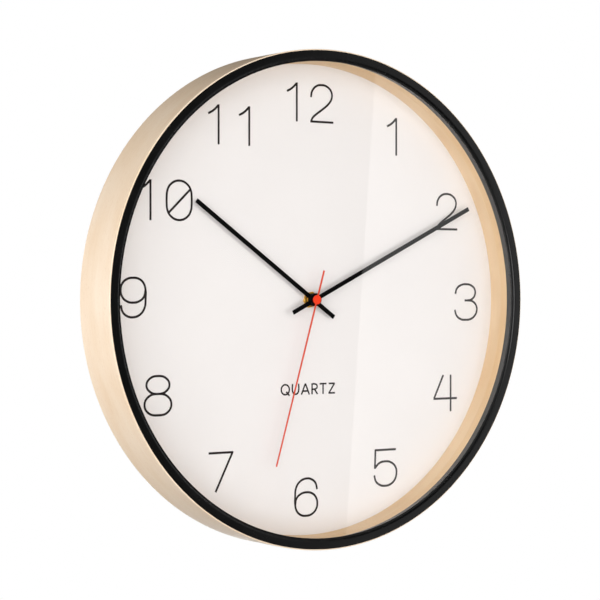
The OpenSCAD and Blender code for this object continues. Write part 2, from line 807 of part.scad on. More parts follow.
module intermediate_wheel() color("ivory") stood_up() {
    toothed(inter_leaves, second_teeth, inter_distance, inter_pinion_level,
        inter_dir + 180 + 180 / inter_leaves, inter_at);
    toothed(inter_teeth, rotor_leaves, rotor_distance, inter_level, rotor_dir, inter_at);
    rod(wheel_hub_r, inter_level[0] - 0.4, inter_pinion_level[0] + inter_pinion_level[1] + 0.3,
        inter_at);
    rod(pivot_r, pivot_rear, pivot_front, inter_at, $fn = 48);
}

module rotor_magnet() color("dimgray") stood_up()
    tube(magnet_r, rotor_r, magnet_level[0], magnet_level[0] + magnet_level[1], rotor_at);

module rotor_pinion() color("white") stood_up() {
    toothed(rotor_leaves, inter_teeth, rotor_distance, rotor_pinion_level,
        rotor_dir + 180 + 180 / rotor_leaves, rotor_at);
    rod(rotor_r, magnet_level[0], rotor_pinion_level[0] + eps, rotor_at, $fn = 48);
    rod(pivot_r, pivot_rear, pivot_front, rotor_at, $fn = 48);
}

module works_wheel() color("ivory") stood_up() {
    mesh_dir = works_dir + 180;
    toothed(works_teeth, cannon_leaves, works_distance, works_level, mesh_dir + 180 / works_teeth,
        works_at);
    toothed(works_leaves, hour_teeth, works_distance, works_pinion_level,
        mesh_dir + 180 / works_leaves, works_at);
    rod(works_r, movement_rear + 0.5, works_pinion_level[0], works_at, $fn = 48);
    rod(pivot_r, works_pinion_level[0], front_wall_rear + 0.6, works_at, $fn = 48);
}

module setting_knob() color("white") stood_up() difference() {
    // a ribbed rim for the finger
    translate([works_at[0], works_at[1], movement_rear + 0.1]) linear_extrude(knob_t)
        polygon([for (i = [0 : 2 * knob_ribs - 1])
            polar(knob_d / 2 - (i % 2) * knob_rib, i * 180 / knob_ribs)]);
    rod(works_r, movement_rear, movement_rear + 2, works_at, $fn = 48);
    rod(knob_d / 2 - 1.2, movement_rear, movement_rear + 0.5, works_at);
}

case_hoop();
bezel_ring();
lens_ring();
lens();
lining_ring();
dial();
dial_board();
corner_blocks();
hanger_block();
hanger_plate();
hanger_screws();
rubber_washer();
movement_housing();
rear_cover();
threaded_stem();
stem_nut();
circuit_board();
crystal();
chip_cover();
stator();
coil_core();
coil_bobbin();
coil_winding();
stator_screws();
contact_positive();
contact_negative();
cell();
hour_hand();
hour_wheel();
minute_hand();
minute_boss();
centre_wheel();
minute_tube();
second_hand();
second_cap();
second_arbor();
second_wheel();
third_wheel();
intermediate_wheel();
rotor_magnet();
rotor_pinion();
works_wheel();
setting_knob();
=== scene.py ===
# %% [markdown]
# # A round wall clock in Blender
#
# A bent beech hoop holds a white dial, a flat glass and a black front ring. A small
# battery movement sits behind the dial. The CAD model gives every piece its place and its
# motion. This notebook gives the pieces their finer shapes and their finishes.
#
# The first cell loads the CAD model as a fixed frame, with a helper that reads a part's box.

import json
import math

import bmesh
import bpy
from mathutils import Matrix, Vector

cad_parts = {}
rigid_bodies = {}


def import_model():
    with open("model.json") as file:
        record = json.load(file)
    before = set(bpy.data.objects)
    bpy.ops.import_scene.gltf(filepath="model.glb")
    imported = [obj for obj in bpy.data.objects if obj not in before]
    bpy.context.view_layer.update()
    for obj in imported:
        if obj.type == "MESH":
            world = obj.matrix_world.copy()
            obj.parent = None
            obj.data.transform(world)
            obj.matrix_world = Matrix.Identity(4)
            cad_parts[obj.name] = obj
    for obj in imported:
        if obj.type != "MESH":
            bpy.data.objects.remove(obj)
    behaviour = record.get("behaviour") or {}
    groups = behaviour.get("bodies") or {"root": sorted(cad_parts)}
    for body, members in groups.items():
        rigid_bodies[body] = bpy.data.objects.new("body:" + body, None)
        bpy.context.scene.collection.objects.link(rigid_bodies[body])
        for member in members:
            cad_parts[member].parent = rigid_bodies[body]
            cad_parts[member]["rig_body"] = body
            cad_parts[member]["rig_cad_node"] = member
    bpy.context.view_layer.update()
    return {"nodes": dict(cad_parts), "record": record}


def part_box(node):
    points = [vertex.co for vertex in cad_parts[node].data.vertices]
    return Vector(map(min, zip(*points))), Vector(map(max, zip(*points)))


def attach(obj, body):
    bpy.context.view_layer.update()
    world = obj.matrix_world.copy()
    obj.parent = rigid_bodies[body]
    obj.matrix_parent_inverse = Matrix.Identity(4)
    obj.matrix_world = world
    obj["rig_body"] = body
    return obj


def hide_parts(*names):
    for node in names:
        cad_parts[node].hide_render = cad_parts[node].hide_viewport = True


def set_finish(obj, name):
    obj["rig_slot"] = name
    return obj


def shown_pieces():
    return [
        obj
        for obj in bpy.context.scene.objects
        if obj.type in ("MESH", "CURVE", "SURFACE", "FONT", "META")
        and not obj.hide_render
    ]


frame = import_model()
MM = 0.001

# %% [markdown]
# ## Sizes that come from the frame
#
# The clock's axis is Y through the origin, the front faces -Y and the wall is at y = 0.
# A ring's outer radius is the largest X of its box, so most radii are read and not typed.


# %% Read radii and levels
def outer_r(node):
    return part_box(node)[1].x


def front_y(node):
    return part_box(node)[0].y


def rear_y(node):
    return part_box(node)[1].y


hoop_r = outer_r("case_hoop")
# clearance round the dial, and round the glass and the rings in the rebate
FIT = 0.2 * MM
lens_r = outer_r("lens")
hoop_in_r = outer_r("dial") + FIT
rebate_r = lens_r + FIT
dial_y = front_y("dial")
print(f"hoop {2 * hoop_r / MM:.0f} mm across, {-front_y('case_hoop') / MM:.1f} mm deep")

# %% [markdown]
# ## Helpers for shapes
#
# Real edges are never razor sharp: wood is sanded, mouldings have radii and sheet metal is
# deburred. A rounded edge catches a line of light, which is what makes a render look solid.
# Two helpers give that. One turns a profile about the clock's axis, with its corners rounded
# first. The other takes a copy of a CAD piece, merges its loose triangles and bevels its
# sharp edges. A narrow bevel next to a wide flat face would tint the whole face, so each
# corner's normal is weighted by area: the wide face keeps its own and the bevel bends to it.

# %% Finish a mesh and hand it to its body
SHARP = math.radians(38)
RING_STEPS = 256


def corner_normals(bm):
    """One normal per face corner: the mean of the faces round it, weighted by area."""
    normals = []
    for face in bm.faces:
        for vert in face.verts:
            total = Vector()
            for other in vert.link_faces:
                if face.normal.dot(other.normal) > math.cos(SHARP):
                    total += other.normal * other.calc_area()
            normals.append(total.normalized() if total.length else face.normal.copy())
    return normals


def to_piece(bm, name):
    """Turns a bmesh into an object at the origin, smooth except at sharp edges."""
    mesh = bpy.data.meshes.new(name)
    bm.normal_update()
    normals = corner_normals(bm)
    bm.to_mesh(mesh)
    bm.free()
    mesh.shade_smooth()
    mesh.set_sharp_from_angle(angle=SHARP)
    mesh.normals_split_custom_set(normals)
    piece = bpy.data.objects.new(name, mesh)
    bpy.context.scene.collection.objects.link(piece)
    return piece


slot_of = {part["node"]: part["material_slot"] for part in frame["record"]["subparts"]}


def stands_for(piece, *nodes):
    """The piece replaces these CAD nodes and takes their body and their slot."""
    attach(piece, frame["nodes"][nodes[0]]["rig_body"])
    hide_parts(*nodes)
    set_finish(piece, slot_of[nodes[0]])
    return piece


print("slots known for", len(slot_of), "nodes")

# %% Turn a profile about the clock's axis


def turned(name, profile, steps=RING_STEPS):
    """profile holds (radius, y, rounding) corners of a closed outline, in metres."""
    bm = bmesh.new()
    corners = [bm.verts.new((r, y, 0)) for r, y, rounding in profile]
    outline = bm.faces.new(corners)
    for corner, (r, y, rounding) in zip(corners, profile):
        if rounding:
            bmesh.ops.bevel(bm, geom=[corner], offset=rounding, segments=4,
                            profile=0.5, affect="VERTICES", material=-1)
    bmesh.ops.delete(bm, geom=list(bm.faces), context="FACES_ONLY")
    bmesh.ops.spin(bm, geom=bm.verts[:] + bm.edges[:], cent=(0, 0, 0), axis=(0, 1, 0),
                   angle=math.tau, steps=steps, use_merge=True)
    bmesh.ops.remove_doubles(bm, verts=bm.verts, dist=0.001 * MM)
    bmesh.ops.recalc_face_normals(bm, faces=bm.faces)
    piece = to_piece(bm, name)
    print(f"{name}: {len(piece.data.polygons)} faces")
    return piece


# %% Soften a copy of a CAD piece


def softened(name, node, radius, segments=2):
    """A copy of the CAD node with its triangles merged and its sharp edges bevelled."""
    bm = bmesh.new()
    bm.from_mesh(frame["nodes"][node].data)
    bmesh.ops.remove_doubles(bm, verts=bm.verts, dist=0.002 * MM)
    bmesh.ops.dissolve_limit(bm, angle_limit=math.radians(0.5), verts=bm.verts, edges=bm.edges)
    sharp = [e for e in bm.edges if len(e.link_faces) == 2 and e.calc_face_angle() > SHARP]
    bmesh.ops.bevel(bm, geom=sharp, offset=radius, segments=segments, profile=0.5,
                    affect="EDGES", material=-1, clamp_overlap=True)
    piece = to_piece(bm, name)
    print(f"{name}: {len(sharp)} edges softened by {radius / MM:.2f} mm")
    return stands_for(piece, node)


# %% [markdown]
# ## The case hoop
#
# A strip of beech is steamed, bent round a drum and glued where its ends meet. Its rear
# edges are rounded by sanding, its front edge has a rebate for the glass. The section is
# drawn once and turned: on a hoop every cut is the same.

# %% Case hoop
hoop_front = front_y("case_hoop")
rebate_y = rear_y("lens_ring")
stands_for(turned("beech_hoop", [
    (hoop_in_r, 0, 1.1 * MM),
    (hoop_r, 0, 1.1 * MM),
    (hoop_r, hoop_front, 0.55 * MM),
    (rebate_r, hoop_front, 0.15 * MM),
    (rebate_r, rebate_y, 0),
    (hoop_in_r, rebate_y, 0.2 * MM),
]), "case_hoop")

# %% [markdown]
# ## The bezel
#
# The black front ring is a moulding with the section of a flange. A thin lip holds the
# glass; from it the front steps up to a rounded crest, then runs almost level out over the
# hoop's edge. The run is an arc that starts level, so its radius follows from its fall.

# %% Bezel
glass_y = front_y("lens")
bezel_y = front_y("bezel_ring")
bezel_r = outer_r("bezel_ring")
LIP_REACH = 2.1 * MM
LIP_THICK = 0.6 * MM
LIP_WIDTH = 1.7 * MM
CREST_ROUND = 1.2 * MM
lip_r = hoop_in_r - LIP_REACH
foot_r = lip_r + LIP_WIDTH
crest_r = foot_r + CREST_ROUND
dome_fall = 0.1 * MM
dome_run = bezel_r - crest_r
dome_r = (dome_run**2 + dome_fall**2) / (2 * dome_fall)
dome_angle = math.asin(dome_run / dome_r)
DOME_STEPS = 14
dome = []
for step in range(1, DOME_STEPS + 1):
    angle = dome_angle * step / DOME_STEPS
    dome.append((crest_r + dome_r * math.sin(angle),
                 bezel_y + dome_r * (1 - math.cos(angle)), 0))
stands_for(turned("bezel_moulding", [
    (lip_r, glass_y, 0),
    (lip_r, glass_y - LIP_THICK, 0.2 * MM),
    (foot_r, glass_y - LIP_THICK, 0.05 * MM),
    (foot_r, bezel_y, 1.1 * MM),
    (crest_r, bezel_y, 0),
    *dome,
    (bezel_r, hoop_front, 0.08 * MM),
    (lens_r, hoop_front, 0),
    (lens_r, glass_y, 0),
]), "bezel_ring")

# %% [markdown]
# ## The glazing ring, the glass and the lining
#
# Behind the glass a black ring holds it off the rebate's floor, and a thin beech lining hides
# the joint between dial and hoop. The lining is feathered at its front. The glass is cut
# from flat sheet, so a disc is extruded and its rim is ground to a small chamfer.

# %% Glazing ring and lining
ring_in_r = hoop_in_r - 0.4 * MM
ring_out_r = outer_r("lens_ring")
stands_for(turned("glazing_ring", [
    (ring_in_r, rear_y("lens_ring"), 0.25 * MM),
    (ring_out_r, rear_y("lens_ring"), 0),
    (ring_out_r, front_y("lens_ring"), 0),
    (ring_in_r, front_y("lens_ring"), 0.35 * MM),
]), "lens_ring")
lining_r = hoop_in_r - 0.02 * MM
stands_for(turned("beech_lining", [
    (hoop_in_r - 1.6 * MM, rear_y("lining_ring"), 0.1 * MM),
    (lining_r, rear_y("lining_ring"), 0),
    (lining_r, front_y("lining_ring"), 0),
    (lining_r - 0.1 * MM, front_y("lining_ring"), 0),
]), "lining_ring")

# %% Glass
bm = bmesh.new()
bmesh.ops.create_circle(bm, cap_ends=True, radius=lens_r, segments=RING_STEPS)
bmesh.ops.rotate(bm, verts=bm.verts, cent=(0, 0, 0),
                 matrix=Matrix.Rotation(math.pi / 2, 3, "X"))
bmesh.ops.translate(bm, verts=bm.verts, vec=(0, rear_y("lens"), 0))
grown = bmesh.ops.extrude_face_region(bm, geom=bm.faces[:], use_keep_orig=True)
raised = [g for g in grown["geom"] if isinstance(g, bmesh.types.BMVert)]
bmesh.ops.translate(bm, verts=raised, vec=(0, glass_y - rear_y("lens"), 0))
bmesh.ops.recalc_face_normals(bm, faces=bm.faces)
rim = [e for e in bm.edges if len(e.link_faces) == 2 and e.calc_face_angle() > SHARP]
bmesh.ops.bevel(bm, geom=rim, offset=0.2 * MM, segments=1, profile=0.5,
                affect="EDGES", material=-1)
stands_for(to_piece(bm, "float_glass"), "lens")
print("glass:", len(rim), "rim edges chamfered")

# %% [markdown]
# ## The printed dial
#
# The numbers are screen printed in one thin line weight. Each is drawn as one or a few
# strokes, as with a pen, and a stroke becomes a curve with a round section that is then
# pressed flat until only a film of ink stands on the sheet. Lengths are in millimetres from
# the lower left corner of a figure 31.5 mm high.

# %% Draw the figures' strokes
SIX = [
    [(22.3, 21.6), (20.6, 27), (16.6, 30.1), (11.6, 30.9), (5.3, 28.7), (1.5, 23.4),
     (0.7, 16.5), (0.7, 10.2), (2.6, 4.6), (6.8, 1.4), (11.7, 0.7), (16.8, 1.6), (21, 5),
     (22.5, 10.2), (21, 15.4), (16.8, 18.8), (11.7, 19.7), (6.2, 18.6), (2.1, 15.2),
     (0.8, 10.4)],
]
FIGURES = {
    "0": (23.8, [
        [(0.7, 12.5), (0.7, 19.5), (1.1, 22.9), (4.2, 28.3), (11.9, 31.3), (19.6, 28.3),
         (22.7, 22.9), (23.1, 19.5), (23.1, 12.5), (22.7, 9.1), (19.6, 3.7), (11.9, 0.7),
         (4.2, 3.7), (1.1, 9.1), "closed"],
        [(2.2, 6), (22, 24.8)],
    ]),
    "1": (10.6, [[(0.3, 24), (5.2, 26.7), (9.9, 31)], [(9.9, 31.5), (9.9, 0)]]),
    "2": (23, [
        [(0.7, 20.4), (1.8, 25.3), (5.8, 29.5), (11.5, 30.8), (17.1, 29.5), (21, 25.6),
         (21.3, 20.6), (18.2, 15.8), (12.4, 11.2), (6.2, 7), (2.3, 3.7), (0.8, 0.5)],
        [(0, 0.7), (23, 0.7)],
    ]),
    "3": (25.7, [
        [(1.3, 22.6), (2.9, 27.2), (7.4, 30.2), (12.8, 31), (18.8, 29.9), (22.7, 26.5),
         (22.9, 22), (19.8, 18.3), (15, 17.1), (11.4, 17.1)],
        [(14, 17.1), (20.4, 16.2), (24.4, 12.4), (24.9, 8), (22.2, 3.4), (17.6, 0.9),
         (12.8, 0.4), (7.2, 1), (2.6, 4.1), (0.7, 9)],
    ]),
    "4": (25.5, [
        [(10.6, 31.3), (0.6, 11.4)], [(0, 11.2), (25.5, 11.2)], [(18.6, 31.4), (18.6, 0)],
    ]),
    "5": (24.6, [
        [(1.3, 30.8), (23.3, 30.8)], [(2, 31.2), (1.4, 15.4)],
        [(1.4, 15.8), (5.8, 19.8), (12, 21.1), (18.5, 19.8), (23.1, 15.6), (23.9, 10.6),
         (21.9, 5), (17.3, 1.6), (12, 0.7), (6.6, 1.7), (2.4, 5), (0.8, 10)],
    ]),
    "6": (23.2, SIX),
    "7": (23, [[(0, 30.8), (22.9, 30.8)], [(22.4, 31.2), (6.4, 0)]]),
    "8": (25.2, [
        [(2.4, 24.1), (5.2, 29), (12.6, 31), (20, 29), (22.8, 24.1), (20, 19.2), (12.6, 17.2),
         (5.2, 19.2), "closed"],
        [(0.7, 8.9), (3.8, 14.9), (12.6, 17.2), (21.4, 14.9), (24.5, 8.9), (21.4, 2.9),
         (12.6, 0.7), (3.8, 2.9), "closed"],
    ]),
    "9": (23.2, [[(23.2 - x, 31.5 - z) for x, z in SIX[0]]]),
    "Q": (9, [
        [(0.6, 4.5), (1.8, 7.4), (4.5, 8.5), (7.2, 7.4), (8.4, 4.5), (7.2, 1.6), (4.5, 0.5),
         (1.8, 1.6), "closed"],
        [(5.4, 2.8), (8.6, -0.5)],
    ]),
    "U": (7.2, [
        [(0.6, 9), (0.6, 3.6), (1.6, 1.4), (3.6, 0.6), (5.6, 1.4), (6.6, 3.6), (6.6, 9)],
    ]),
    "A": (8.2, [[(0.2, 0), (4.1, 9)], [(8, 0), (4.1, 9)], [(1.6, 2.9), (6.6, 2.9)]]),
    "R": (6.2, [
        [(0.6, 0), (0.6, 9)],
        [(0.6, 8.4), (3.2, 8.4), (5, 7.7), (5.6, 6.3), (5, 4.9), (3.2, 4.2), (0.6, 4.2)],
        [(3, 4.2), (6, 0)],
    ]),
    "T": (6.8, [[(0, 8.4), (6.8, 8.4)], [(3.4, 8.8), (3.4, 0)]]),
    "Z": (6.6, [[(0.3, 8.4), (6.3, 8.4)], [(6.2, 8.6), (0.4, 0.4)], [(0.1, 0.6), (6.6, 0.6)]]),
}
print("drew", len(FIGURES), "figures and letters")


# %% Print words on the dial
INK_STANDS = 0.03 * MM


def printed(name, words, weight):
    """words holds (text, gap, centre x, centre z, height), in millimetres on the dial."""
    curve = bpy.data.curves.new(name, "CURVE")
    curve.dimensions = "3D"
    curve.bevel_depth = weight / 2 * MM
    curve.bevel_resolution = 1
    curve.use_fill_caps = True
    curve.resolution_u = 6
    for text, gap, centre_x, centre_z, height in words:
        width = sum(FIGURES[letter][0] for letter in text) + gap * (len(text) - 1)
        left = centre_x - width / 2
        for letter in text:
            for stroke in FIGURES[letter][1]:
                points = [p for p in stroke if p != "closed"]
                spline = curve.splines.new("BEZIER")
                spline.bezier_points.add(len(points) - 1)
                spline.use_cyclic_u = "closed" in stroke
                for knot, (x, z) in zip(spline.bezier_points, points):
                    knot.co = ((left + x) * MM, (centre_z - height / 2 + z) * MM, 0)
                    knot.handle_left_type = knot.handle_right_type = "AUTO"
            left += FIGURES[letter][0] + gap
    drawn = bpy.data.objects.new(name + "_strokes", curve)
    bpy.context.scene.collection.objects.link(drawn)
    bpy.context.view_layer.update()
    graph = bpy.context.evaluated_depsgraph_get()
    mesh = bpy.data.meshes.new_from_object(drawn.evaluated_get(graph))
    bpy.data.objects.remove(drawn)
    bm = bmesh.new()
    bm.from_mesh(mesh)
    bmesh.ops.scale(bm, verts=bm.verts, vec=(1, 1, INK_STANDS / (weight / 2 * MM)))
    bmesh.ops.rotate(bm, verts=bm.verts, cent=(0, 0, 0),
                     matrix=Matrix.Rotation(math.pi / 2, 3, "X"))
    bmesh.ops.translate(bm, verts=bm.verts, vec=(0, dial_y, 0))
    bmesh.ops.recalc_face_normals(bm, faces=bm.faces)
    piece = to_piece(bm, name)
    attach(piece, "case")
    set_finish(piece, "white_dial")
    print(f"{name}: {len(words)} words, {len(piece.data.polygons)} faces")
    return piece


# %% Numbers one to twelve and a plain word
dial_numbers = printed("dial_numbers", [
    ("12", 12.5, 0.3, 159.8, 31.5),
    ("1", 0, 83.2, 136.2, 31.5),
    ("2", 0, 141.9, 74.8, 31.5),
    ("3", 0, 162.9, -2.3, 31.7),
    ("4", 0, 140.3, -80.2, 31.5),
    ("5", 0, 76.5, -140.6, 31.5),
    ("6", 0, -3.6, -160.3, 31.5),
    ("7", 0, -84.9, -135.4, 31.5),
    ("8", 0, -142, -73.6, 31.7),
    ("9", 0, -163.8, 2.1, 31.5),
    ("10", 13, -134.8, 77.2, 31.7),
    ("11", 18, -77.4, 138, 31.5),
], 1.85)
dial_word = printed("dial_word", [("QUARTZ", 1.9, -1.8, -72.5, 9)], 1.4)

# %% [markdown]
# ## Hands, boss and nut
#
# The hands are punched from sheet and lacquered, so they keep square ends with edges only
# just rounded. Their CAD shapes are right, and a small bevel is all they need. The boss, the
# cap and the nut are turned or moulded, with larger roundings.

# %% Soften the hands and what holds them
softened("hour_blade", "hour_hand", 0.08 * MM)
softened("minute_blade", "minute_hand", 0.08 * MM)
softened("second_needle", "second_hand", 0.05 * MM)
softened("turned_boss", "minute_boss", 0.22 * MM, 3)
softened("needle_cap", "second_cap", 0.14 * MM, 3)
softened("hex_nut", "stem_nut", 0.1 * MM)

# %% [markdown]
# ## The back
#
# Behind the board are sawn blocks, the keyhole hanger and the movement. Sawn wood gets a
# sanded edge, pressed steel a deburred one and the moulded case its radii.

# %% Soften the pieces at the back
softened("glue_blocks", "corner_blocks", 0.4 * MM)
softened("keyhole_block", "hanger_block", 0.5 * MM)
softened("keyhole_plate", "hanger_plate", 0.15 * MM)
softened("plate_screws", "hanger_screws", 0.1 * MM)
softened("moulded_housing", "movement_housing", 0.2 * MM)
softened("snap_cover", "rear_cover", 0.12 * MM)
softened("thumb_knob", "setting_knob", 0.1 * MM)

# %% [markdown]
# ## Marks stamped on the movement
#
# The cover tells how to use it without words: two arrows bend round the knob, and a minus and
# a plus show which way the battery lies. They are hot-stamped in black foil, so each mark is a
# thin flat bar or a row of short bars that follows an arc. Boxes that overlap are enough: in
# black their joints don't show.

# %% Stamped marks
MARK_W = 0.6 * MM
MARK_STANDS = 0.03 * MM
cover_y = rear_y("rear_cover")
knob_lo, knob_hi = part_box("setting_knob")
knob_mid = (knob_lo + knob_hi) / 2


def stamped_bar(bm, start, end):
    """A bar on the cover between two (x, z) points, in metres."""
    start, end = Vector(start), Vector(end)
    mid, run = (start + end) / 2, end - start
    turn = Matrix.Rotation(-math.atan2(run.y, run.x), 4, "Y")
    size = Matrix.Diagonal((run.length + MARK_W * 0.4, MARK_STANDS * 2, MARK_W, 1))
    bmesh.ops.create_cube(bm, size=1, matrix=Matrix.Translation((mid.x, cover_y, mid.y))
                          @ turn @ size)


bm = bmesh.new()
ARROW_R = 6.4 * MM
for first in (20, 200):
    bend = [Vector((knob_mid.x + ARROW_R * math.cos(math.radians(a)),
                    knob_mid.z + ARROW_R * math.sin(math.radians(a))))
            for a in range(first, first + 91, 10)]
    for a, b in zip(bend, bend[1:]):
        stamped_bar(bm, a, b)
    ahead = (bend[-1] - bend[-2]).normalized()
    for side in (-1, 1):
        across = Vector((-ahead.y, ahead.x)) * side
        stamped_bar(bm, bend[-1], bend[-1] - ahead * 1.5 * MM + across * 1.2 * MM)
# the cell's cap points to +X, so the plus lies on that side
sign_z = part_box("rear_cover")[0].z + 2.4 * MM
for sign_x, bars in ((-22 * MM, 1), (22 * MM, 2)):
    stamped_bar(bm, (sign_x - 1.5 * MM, sign_z), (sign_x + 1.5 * MM, sign_z))
    if bars == 2:
        stamped_bar(bm, (sign_x, sign_z - 1.5 * MM), (sign_x, sign_z + 1.5 * MM))
bmesh.ops.recalc_face_normals(bm, faces=bm.faces)
cover_marks = to_piece(bm, "cover_marks")
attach(cover_marks, "case")
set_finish(cover_marks, slot_of["rear_cover"])
print("marks:", len(cover_marks.data.polygons) // 6, "bars")

# %% [markdown]
# ## The battery, its spring and the threaded stem
#
# The battery is a drawn can in a printed sleeve, rolled over at both ends, with a pressed
# terminal: one turned outline. The spring is a conical coil of wire, drawn as a curve. The
# stem's thread is too fine to follow as a helix here, so rings of the same pitch stand for it.

# %% Turn a solid whose outline ends on its own axis


def turned_solid(name, profile, place, steps=64):
    """profile runs from axis to axis in (radius, along); place moves it from the Y axis."""
    bm = bmesh.new()
    line = [bm.verts.new((r, along, 0)) for r, along in profile]
    for a, b in zip(line, line[1:]):
        bm.edges.new((a, b))
    bmesh.ops.spin(bm, geom=bm.verts[:] + bm.edges[:], cent=(0, 0, 0), axis=(0, 1, 0),
                   angle=math.tau, steps=steps, use_merge=True)
    bmesh.ops.remove_doubles(bm, verts=bm.verts, dist=0.001 * MM)
    bmesh.ops.dissolve_degenerate(bm, dist=0.0005 * MM, edges=bm.edges)
    bmesh.ops.transform(bm, matrix=place, verts=bm.verts)
    bmesh.ops.recalc_face_normals(bm, faces=bm.faces)
    return to_piece(bm, name)


cell_lo, cell_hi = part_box("cell")
cell_mid = (cell_lo + cell_hi) / 2
cell_r = (cell_hi.z - cell_lo.z) / 2
cell_len = cell_hi.x - cell_lo.x
can_len = cell_len - 1.5 * MM
# both ends are drawn, in millimetres, for a can of this radius
DRAWN_R = 7.1
outline = [
    (0, 0.1), (4.6, 0.1), (4.9, 0), (5.6, 0), (5.8, 0.35), (6.3, 0.35), (6.5, 0.05),
    (6.75, 0.1), (6.98, 0.35), (7.08, 0.8),
]
shoulder = [
    (7.08, -0.9), (6.98, -0.4), (6.75, -0.12), (6.45, -0.05), (6.2, -0.4), (3, -0.4),
    (2.75, 0.1), (2.72, 1.2), (2.5, 1.48), (0, 1.5),
]
profile = [(r / DRAWN_R * cell_r, a * MM) for r, a in outline]
profile += [(r / DRAWN_R * cell_r, can_len + a * MM) for r, a in shoulder]
along_x = Matrix.Translation((cell_lo.x, cell_mid.y, cell_mid.z)) @ Matrix.Rotation(
    -math.pi / 2, 4, "Z")
stands_for(turned_solid("dry_cell", profile, along_x), "cell")
print(f"battery: {2 * cell_r / MM:.1f} by {cell_len / MM:.1f} mm")

# %% Conical contact spring
spring_lo, spring_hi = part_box("contact_negative")
wire_r = 0.25 * MM
spring = bpy.data.curves.new("cell_spring", "CURVE")
spring.dimensions = "3D"
spring.bevel_depth = wire_r
spring.bevel_resolution = 3
spring.use_fill_caps = True
SPRING_TURNS = 3
SPRING_STEPS = 24 * SPRING_TURNS
coil = spring.splines.new("POLY")
coil.points.add(SPRING_STEPS)
for step, knot in enumerate(coil.points):
    share = step / SPRING_STEPS
    angle = share * SPRING_TURNS * math.tau
    reach = (2.2 + 2 * share) * MM
    knot.co = (spring_hi.x - wire_r - share * (spring_hi.x - spring_lo.x - 2 * wire_r),
               cell_mid.y + reach * math.cos(angle), cell_mid.z + reach * math.sin(angle), 1)
wound = bpy.data.objects.new("wound", spring)
bpy.context.scene.collection.objects.link(wound)
bpy.context.view_layer.update()
mesh = bpy.data.meshes.new_from_object(
    wound.evaluated_get(bpy.context.evaluated_depsgraph_get()))
bpy.data.objects.remove(wound)
bm = bmesh.new()
bm.from_mesh(mesh)
bmesh.ops.recalc_face_normals(bm, faces=bm.faces)
stands_for(to_piece(bm, "cell_spring"), "contact_negative")
print("spring:", SPRING_TURNS, "turns")

# %% Threaded stem
stem_front = front_y("threaded_stem")
stem_rear = rear_y("threaded_stem")
collar_r = outer_r("threaded_stem")
collar_y = front_y("rubber_washer")
stem_r = collar_r - 1.6 * MM
stem_bore_r = 2.66 * MM
THREAD_PITCH = 0.75 * MM
THREAD_DEPTH = 0.4 * MM
rings = []
crest_y = collar_y - 0.5 * MM
while crest_y - THREAD_PITCH > stem_front + 0.2 * MM:
    rings += [(stem_r, crest_y, 0), (stem_r - THREAD_DEPTH, crest_y - THREAD_PITCH / 2, 0)]
    crest_y -= THREAD_PITCH
stands_for(turned("stem_thread", [
    (stem_bore_r, stem_rear, 0),
    (stem_r, stem_rear, 0),
    (stem_r, rear_y("rubber_washer"), 0),
    (collar_r, rear_y("rubber_washer"), 0),
    (collar_r, collar_y, 0),
    (stem_r, collar_y, 0),
    *rings,
    (stem_r, crest_y, 0),
    (stem_r - 0.2 * MM, stem_front, 0),
    (stem_bore_r, stem_front, 0),
], steps=96), "threaded_stem")

# %% [markdown]
# ## Helpers for materials
#
# Colours are picked as sRGB hex values and turned linear by one function. One function adds
# a node and fills its inputs. Patterns are sized in millimetres of the real surface.

# %% Colour, node and size helpers


def linear(code):
    """An sRGB hex colour as linear red, green and blue, with full alpha."""
    shares = [int(code[i:i + 2], 16) / 255 for i in (1, 3, 5)]
    return (*[s / 12.92 if s <= 0.04045 else ((s + 0.055) / 1.055) ** 2.4 for s in shares], 1)


def add(tree, kind, inputs=(), **settings):
    """Adds a node, sets it up, and fills its inputs with values or links."""
    node = tree.nodes.new("ShaderNode" + kind)
    for key, value in settings.items():
        setattr(node, key, value)
    for key, value in dict(inputs).items():
        if isinstance(value, bpy.types.NodeSocket):
            tree.links.new(value, node.inputs[key])
        else:
            node.inputs[key].default_value = value
    return node


def per(*sizes):
    """Texture scale, one per axis, for features of these sizes in millimetres."""
    return tuple(1 / (size * MM) for size in sizes)


def blank(name, roughness, metallic=0.0, **sockets):
    """A named material with its shader's plain values set."""
    made = bpy.data.materials.new(name)
    made.use_nodes = True
    shader = made.node_tree.nodes["Principled BSDF"]
    shader.inputs["Roughness"].default_value = roughness
    shader.inputs["Metallic"].default_value = metallic
    for key, value in sockets.items():
        shader.inputs[key.replace("_", " ")].default_value = value
    return made, made.node_tree, shader


FINISH = {}
print("helpers ready")
